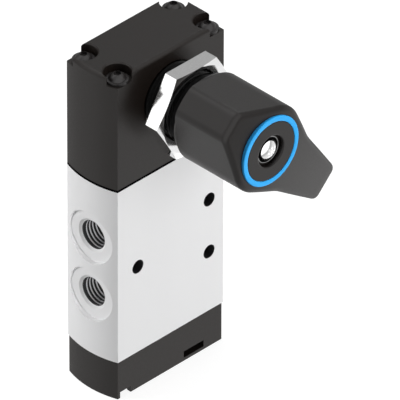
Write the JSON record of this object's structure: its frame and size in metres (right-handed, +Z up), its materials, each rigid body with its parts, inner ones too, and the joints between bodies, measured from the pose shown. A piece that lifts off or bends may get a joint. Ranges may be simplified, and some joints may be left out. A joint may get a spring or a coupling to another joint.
{
  "type": "rotary air valve",
  "caption": "Panel-mount air valve: pointer knob with a ring turns a crank that slides a spool past side ports in a metal body with plastic ends.",
  "frame": {"origin": "centre of the end cap's underside, on the spool's axis", "axes": "+X along the broad face towards the side with three ports, +Y away from the knob, +Z up the spool's axis"},
  "size_m": [0.0555, 0.0625, 0.1165],
  "materials": {
    "aluminium_body": "fine matt anodised",
    "black_housing": "fine moulded",
    "black_knob": "satin moulded",
    "black_neck": "satin moulded",
    "nickel_nut": "polished nickel",
    "black_screw": "black oxide",
    "bright_screw": "bright plated",
    "blue_ring": "satin",
    "seal_rubber": "matt",
    "guide_plastic": "satin",
    "bush_brass": "turned",
    "steel": "turned",
    "spool_metal": "polished anodised",
    "yoke_plastic": "moulded"
  },
  "bodies": {
    "root": {"valve_body": "aluminium_body", "actuator_housing": "black_housing", "end_cap": "black_housing", "threaded_neck": "black_neck", "panel_nut": "nickel_nut", "housing_screws": "black_screw", "end_cap_screws": "black_screw", "head_gasket": "seal_rubber", "end_cap_gasket": "seal_rubber", "lower_guide_bush": "guide_plastic", "upper_guide_bush": "guide_plastic", "seal_spacers": "guide_plastic", "spool_seals": "seal_rubber", "shaft_bush": "bush_brass", "stop_pin": "steel"},
    "knob_body": {"knob": "black_knob", "indicator_ring": "blue_ring", "knob_screw": "bright_screw", "knob_washer": "bright_screw", "knob_shaft": "steel", "shaft_circlip": "black_screw", "shaft_oring": "seal_rubber", "crank_disc": "steel", "crank_pin": "steel"},
    "spool_body": {"spool": "spool_metal", "spool_yoke": "yoke_plastic", "yoke_pin": "steel"}
  },
  "joints": [
    {"name": "knob_turn", "type": "hinge", "parent": "root", "child": "knob_body", "pos_m": [0, 0, 0.0995], "axis": [0, 1, 0], "range_deg": [0, 90]},
    {"name": "spool_slide", "type": "slide", "parent": "root", "child": "spool_body", "axis": [0, 0, 1], "range_m": [-0.0038, 0]}
  ],
  "couplings": [
    {"joint": "spool_slide", "follows": "knob_turn", "m_per_rad": -0.0023409}
  ]
}
